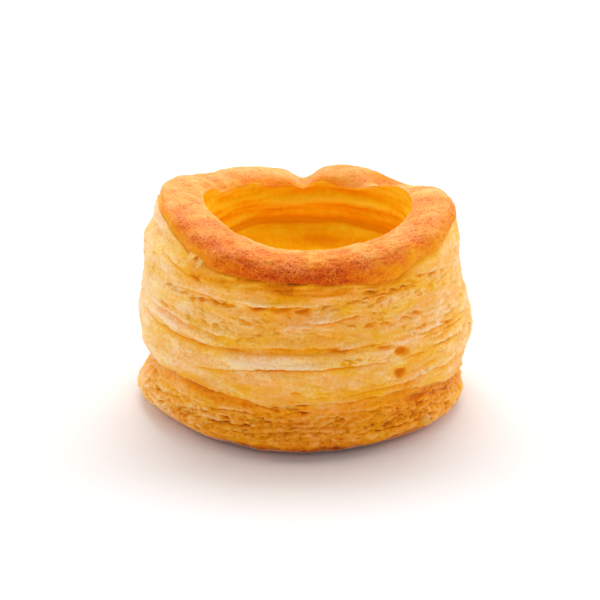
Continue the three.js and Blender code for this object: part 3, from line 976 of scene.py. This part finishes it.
def baked_side():
    """Unglazed baked puff pastry: matt and soft, cream and peach, with painted golden shade in its
    creases.
    """
    material, tree = start_material("baked_puff_pastry_side")
    place = add(tree, "ShaderNodeTexCoord").outputs["Object"]
    flat = add(tree, "ShaderNodeMapping", {"Vector": place, "Scale": (0.35, 0.35, 1)})
    streaks = add(tree, "ShaderNodeTexNoise", {"Vector": flat.outputs[0], "Scale": per(1.1),
                                               "Detail": 4, "Roughness": 0.6})
    patches = add(tree, "ShaderNodeTexNoise", {"Vector": place, "Scale": per(6), "Detail": 3})
    hues = add(tree, "ShaderNodeTexNoise", {"Vector": flat.outputs[0], "Scale": per(3.4),
                                            "Detail": 3})
    grains = add(tree, "ShaderNodeTexNoise", {"Vector": place, "Scale": per(0.7), "Detail": 3,
                                              "Roughness": 0.6})
    specks = add(tree, "ShaderNodeMapRange", {"Value": grains.outputs["Fac"], "From Min": 0.3,
                                              "From Max": 0.42, "To Min": 0.6, "To Max": 0.0})
    dust = add(tree, "ShaderNodeTexNoise", {"Vector": place, "Scale": per(0.4), "Detail": 2})
    fine, gold_and_painted_shade, toast_and_painted_shade = [add(tree, "ShaderNodeAttribute", attribute_name=mark).outputs["Fac"]
                         for mark in ("fine", "gold_and_painted_shade", "toast_and_painted_shade")]
    # Painted shade and highlight: the fine relief makes the skin darker where it sinks and paler
    # where it stands out, and the creases' and hollows' painted shade comes in with the golden
    # tint.
    tone = add_up(tree, 0.0, (streaks.outputs["Fac"], 0.45), (patches.outputs["Fac"], 0.26),
                  (grains.outputs["Fac"], 0.35), (dust.outputs["Fac"], 0.35),
                  (fine, 0.4), (gold_and_painted_shade, -0.5), (specks.outputs[0], -0.2))
    golden = add(tree, "ShaderNodeValToRGB", {"Fac": tone},
                 stops=[(0.0, "#d67800"), (0.2, "#ea9000"), (0.45, "#f4a800"),
                        (0.72, "#f9ba34"), (1.0, "#fdda92")])
    peachy = add(tree, "ShaderNodeValToRGB", {"Fac": tone},
                 stops=[(0.0, "#d87000"), (0.2, "#ea8600"), (0.45, "#f5a028"),
                        (0.72, "#f9b868"), (1.0, "#fddab2")])
    hue = add(tree, "ShaderNodeMapRange", {"Value": hues.outputs["Fac"], "From Min": 0.34,
                                           "From Max": 0.66})
    skin = add(tree, "ShaderNodeMix", {"Factor": hue.outputs[0], 6: golden.outputs["Color"],
                                       7: peachy.outputs["Color"]}, data_type="RGBA")
    crusty = add(tree, "ShaderNodeValToRGB", {"Fac": tone},
                 stops=[(0.0, "#903a00"), (0.3, "#d06e00"), (0.6, "#ea8e00"), (1.0, "#f8b65a")])
    colour = add(tree, "ShaderNodeMix", {"Factor": toast_and_painted_shade, 6: skin.outputs[2],
                                         7: crusty.outputs["Color"]}, data_type="RGBA")
    rough = add(tree, "ShaderNodeMapRange", {"Value": grains.outputs["Fac"], "To Min": 0.6,
                                             "To Max": 0.8})
    bump = add(tree, "ShaderNodeBump", {"Height": grains.outputs["Fac"], "Strength": 0.4,
                                        "Distance": 0.0005})
    layered = add(tree, "ShaderNodeBump", {"Height": streaks.outputs["Fac"], "Strength": 0.4,
                                           "Distance": 0.0007, "Normal": bump.outputs[0]})
    shader = add(tree, "ShaderNodeBsdfPrincipled", {
        "Base Color": colour.outputs[2], "Roughness": rough.outputs[0],
        "IOR": 1.4, "Specular IOR Level": 0.08, "Sheen Weight": 0.5, "Sheen Roughness": 0.35,
        "Sheen Tint": linear("#fff0e0"), "Subsurface Weight": 0.3,
        "Subsurface Radius": (1.0, 0.55, 0.2), "Subsurface Scale": 0.0012,
        "Normal": layered.outputs[0]})
    add(tree, "ShaderNodeOutputMaterial", {"Surface": shader.outputs[0]})
    return material


CRAZE_BEND = 3 * MM              # the fine wrinkles wander less than this


def browned_crust():
    """Egg-washed puff pastry top: satin, golden to chestnut, crazed with fine pale wrinkles."""
    material, tree = start_material("browned_puff_pastry_top")
    place = add(tree, "ShaderNodeTexCoord").outputs["Object"]
    crooked = add(tree, "ShaderNodeTexNoise", {"Vector": place, "Scale": per(1.4), "Detail": 2})
    bent = add(tree, "ShaderNodeVectorMath", {0: crooked.outputs["Color"], 1: (CRAZE_BEND,) * 3,
                                              2: place}, operation="MULTIPLY_ADD")
    cells = add(tree, "ShaderNodeTexVoronoi", {"Vector": bent.outputs[0], "Scale": per(0.9)},
                feature="DISTANCE_TO_EDGE")
    lines = add(tree, "ShaderNodeMapRange", {"Value": cells.outputs["Distance"],
                                             "From Max": 0.17, "To Min": 1.0, "To Max": 0.0})
    patches = add(tree, "ShaderNodeTexNoise", {"Vector": place, "Scale": per(4.5), "Detail": 3})
    grains = add(tree, "ShaderNodeTexNoise", {"Vector": place, "Scale": per(0.7), "Detail": 3,
                                              "Roughness": 0.6})
    dust = add(tree, "ShaderNodeTexNoise", {"Vector": place, "Scale": per(0.4), "Detail": 2})
    brown_and_painted_shade, low, relief = [add(tree, "ShaderNodeAttribute", attribute_name=mark).outputs["Fac"]
                          for mark in ("brown_and_painted_shade", "low", "relief")]
    broken = add(tree, "ShaderNodeMapRange", {"Value": patches.outputs["Fac"], "From Min": 0.35,
                                              "From Max": 0.6})
    pores = add(tree, "ShaderNodeMapRange", {"Value": grains.outputs["Fac"], "From Min": 0.32,
                                             "From Max": 0.46, "To Min": 0.5, "To Max": 0.0})
    smooth = add(tree, "ShaderNodeMapRange", {"Value": low, "To Min": 1.0, "To Max": 0.9})
    sealed = add(tree, "ShaderNodeMapRange", {"Value": low, "To Min": 1.0, "To Max": 0.6})
    pits = add(tree, "ShaderNodeMath", {0: pores.outputs[0], 1: sealed.outputs[0]},
               operation="MULTIPLY")
    crazed = 0.9
    for fac in (lines.outputs[0], broken.outputs[0], smooth.outputs[0]):
        crazed = add(tree, "ShaderNodeMath", {0: fac, 1: crazed},
                     operation="MULTIPLY").outputs[0]
    # Painted shade and highlight: the crust's relief makes it darker where it sinks and paler where
    # it stands out.
    tone = add_up(tree, -1.22, (brown_and_painted_shade, 1.15), (pits.outputs[0], 1.0),
                  (patches.outputs["Fac"], 0.45), (grains.outputs["Fac"], 1.15),
                  (dust.outputs["Fac"], 0.9), (relief, -0.8))
    # The pale pink end of this ramp is partly the paler bake of the crown and back, partly a
    # painted highlight of the satin sheen there.
    crust = add(tree, "ShaderNodeValToRGB", {"Fac": tone},
                stops=[(0.0, "#fbcc7c"), (0.22, "#f9b462"), (0.42, "#f69838"),
                       (0.68, "#ea7220"), (1.0, "#cc4806")])
    glaze = add(tree, "ShaderNodeValToRGB", {"Fac": tone},
                stops=[(0.0, "#faa800"), (0.22, "#f69a00"), (0.42, "#f28800"),
                       (0.68, "#e66600"), (1.0, "#ca4200")])
    baked = add(tree, "ShaderNodeMix", {"Factor": low, 6: crust.outputs["Color"],
                                        7: glaze.outputs["Color"]}, data_type="RGBA")
    thread = add(tree, "ShaderNodeMix", {"Factor": low, 6: linear("#ffae70"),
                                         7: linear("#fb9620")}, data_type="RGBA")
    colour = add(tree, "ShaderNodeMix", {"Factor": crazed, 6: baked.outputs[2],
                                         7: thread.outputs[2]}, data_type="RGBA")
    height = add(tree, "ShaderNodeMath", {0: lines.outputs[0], 1: 0.25,
                                          2: grains.outputs["Fac"]}, operation="MULTIPLY_ADD")
    bump = add(tree, "ShaderNodeBump", {"Height": height.outputs[0], "Strength": 0.65,
                                        "Distance": 0.0004})
    rough = add(tree, "ShaderNodeMapRange", {"Value": grains.outputs["Fac"], "To Min": 0.4,
                                             "To Max": 0.6})
    shader = add(tree, "ShaderNodeBsdfPrincipled", {
        "Base Color": colour.outputs[2], "Roughness": rough.outputs[0],
        "IOR": 1.45, "Specular IOR Level": 0.1, "Sheen Weight": 0.04, "Sheen Roughness": 0.3,
        "Sheen Tint": linear("#ffe8dc"), "Subsurface Weight": 0.25,
        "Subsurface Radius": (1.0, 0.5, 0.15), "Subsurface Scale": 0.001,
        "Normal": bump.outputs[0]})
    add(tree, "ShaderNodeOutputMaterial", {"Surface": shader.outputs[0]})
    return material


def well_crumb():
    """Soft inner layers of baked puff pastry: matt and moist, deep golden in fine rings, with
    painted shade where they sink and at the ledge.
    """
    material, tree = start_material("puff_pastry_inner_layers")
    place = add(tree, "ShaderNodeTexCoord").outputs["Object"]
    flat = add(tree, "ShaderNodeMapping", {"Vector": place, "Scale": (0.16, 0.16, 1)})
    rings = add(tree, "ShaderNodeTexNoise", {"Vector": flat.outputs[0], "Scale": per(1.7),
                                             "Detail": 4, "Distortion": 0.3})
    patches = add(tree, "ShaderNodeTexNoise", {"Vector": place, "Scale": per(6), "Detail": 2})
    grains = add(tree, "ShaderNodeTexNoise", {"Vector": place, "Scale": per(0.9), "Detail": 4,
                                              "Roughness": 0.6})
    relief, deep = [add(tree, "ShaderNodeAttribute", attribute_name=mark).outputs["Fac"]
                    for mark in ("relief", "deep")]
    # Painted shade and highlight: the relief makes the layers darker where they sink and paler
    # where they stand out, and the depth value adds the painted shade at the ledge and the painted
    # highlight near the floor's edge.
    tone = add_up(tree, 0.33, (rings.outputs["Fac"], 0.25), (patches.outputs["Fac"], 0.15),
                  (grains.outputs["Fac"], 0.3), (relief, 0.8), (deep, -0.45))
    colour = add(tree, "ShaderNodeValToRGB", {"Fac": tone},
                 stops=[(0.2, "#f09800"), (0.45, "#f7b000"), (0.65, "#fbc418"),
                        (0.95, "#fed444")])
    bump = add(tree, "ShaderNodeBump", {"Height": grains.outputs["Fac"], "Strength": 0.5,
                                        "Distance": 0.0005})
    layered = add(tree, "ShaderNodeBump", {"Height": rings.outputs["Fac"], "Strength": 0.5,
                                           "Distance": 0.0008, "Normal": bump.outputs[0]})
    shader = add(tree, "ShaderNodeBsdfPrincipled", {
        "Base Color": colour.outputs["Color"], "Roughness": 0.75, "IOR": 1.4,
        "Specular IOR Level": 0.05, "Subsurface Weight": 0.15,
        "Subsurface Radius": (1.0, 0.5, 0.15), "Subsurface Scale": 0.001,
        "Normal": layered.outputs[0]})
    add(tree, "ShaderNodeOutputMaterial", {"Surface": shader.outputs[0]})
    return material


def pale_floor():
    """A matt white painted board."""
    material = bpy.data.materials.new("matt_white_board")
    material.use_nodes = True
    shader = material.node_tree.nodes["Principled BSDF"]
    shader.inputs["Base Color"].default_value = linear("#f0f0f3")
    shader.inputs["Roughness"].default_value = 0.9
    shader.inputs["Specular IOR Level"].default_value = 0.2
    return material


# ---- the studio ----

CAMERA_AIM = Vector((-0.74, 0.0, 21.2)) * MM
CAMERA_DISTANCE = 350 * MM
CAMERA_RISE = math.radians(20)
CAMERA_LENS = 99.3
FLOOR_REACH = 6                  # metres from the case to each edge of the floor


def set_camera():
    camera = bpy.data.objects.new("camera", bpy.data.cameras.new("camera"))
    bpy.context.collection.objects.link(camera)
    away = Vector((0, -math.cos(CAMERA_RISE), math.sin(CAMERA_RISE)))
    camera.location = AXIS + CAMERA_AIM + away * CAMERA_DISTANCE
    camera.rotation_euler = (-away).to_track_quat("-Z", "Y").to_euler()
    camera.data.lens = CAMERA_LENS
    camera.data.sensor_width = 36
    camera.data.clip_start = 0.01
    bpy.context.scene.camera = camera


def add_softbox(name, place, aim, size, watts):
    lamp = bpy.data.lights.new(name, "AREA")
    lamp.shape = "RECTANGLE"
    lamp.size, lamp.size_y = size
    lamp.energy = watts
    light = bpy.data.objects.new(name, lamp)
    light.location = place
    light.rotation_euler = (Vector(aim) - Vector(place)).to_track_quat("-Z", "Y").to_euler()
    bpy.context.collection.objects.link(light)


def set_studio():
    floor_mesh = bmesh.new()
    bmesh.ops.create_grid(floor_mesh, x_segments=1, y_segments=1, size=FLOOR_REACH)
    mesh = bpy.data.meshes.new("floor")
    floor_mesh.to_mesh(mesh)
    floor_mesh.free()
    mesh.materials.append(pale_floor())
    floor = bpy.data.objects.new("floor", mesh)
    bpy.context.collection.objects.link(floor)
    world = bpy.data.worlds.new("white_room")
    world.use_nodes = True
    tree = world.node_tree
    tree.nodes.clear()
    toward = add(tree, "ShaderNodeTexCoord").outputs["Generated"]
    split = add(tree, "ShaderNodeSeparateXYZ", {0: toward})
    behind = add(tree, "ShaderNodeMapRange", {"Value": split.outputs["Y"], "From Min": -0.7,
                                              "From Max": 0.8, "To Min": 0.2, "To Max": 0.8})
    warmth = add(tree, "ShaderNodeMapRange", {"Value": split.outputs["Y"], "From Min": -0.5,
                                              "From Max": 0.3})
    hue = add(tree, "ShaderNodeMix", {"Factor": warmth.outputs[0], 6: linear("#fff0df"),
                                      7: linear("#fffdf9")}, data_type="RGBA")
    room = add(tree, "ShaderNodeBackground", {"Color": hue.outputs[2],
                                              "Strength": behind.outputs[0]})
    seen = add(tree, "ShaderNodeBackground", {"Color": linear("#ffffff"), "Strength": 1})
    camera_ray = add(tree, "ShaderNodeLightPath").outputs["Is Camera Ray"]
    both = add(tree, "ShaderNodeMixShader", {0: camera_ray, 1: room.outputs[0],
                                             2: seen.outputs[0]})
    add(tree, "ShaderNodeOutputWorld", {"Surface": both.outputs[0]})
    bpy.context.scene.world = world
    middle = (0, 0, 0.02)
    add_softbox("left_softbox", (-1.15, 0.5, 0.6), middle, (1.0, 0.9), 5.9)
    add_softbox("right_softbox", (1.15, 0.5, 0.6), middle, (1.0, 0.9), 8.0)
    add_softbox("back_softbox", (0, 0.9, 1.5), middle, (1.4, 1.0), 20)
    add_softbox("front_softbox", (0, -1.5, 0.8), middle, (1.3, 1.2), 9.5)
    bpy.context.scene.view_settings.view_transform = "Standard"


# ---- putting it together ----

def finish_piece(piece, *materials):
    for material in materials:
        piece.data.materials.append(material)
    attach(piece, "root")
    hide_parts("pastry_case")


baked_skin = baked_side()
finish_piece(make_shell("baked_foot", FOOT_SLICES, FOOT_SPANS, shape_foot), baked_skin)
finish_piece(make_shell("layered_side", SIDE_SLICES, SIDE_SPANS, shape_side), baked_skin)
finish_piece(make_flakes("loose_flakes"), baked_skin)
top = make_shell("browned_top", TOP_SLICES, TOP_SPANS, shape_top)
finish_piece(top, browned_crust(), well_crumb())
in_well = np.array([0.5 < corner.value for corner in top.data.attributes["well"].data])
for face in top.data.polygons:
    face.material_index = int(all(in_well[corner] for corner in face.vertices))
set_studio()
set_camera()
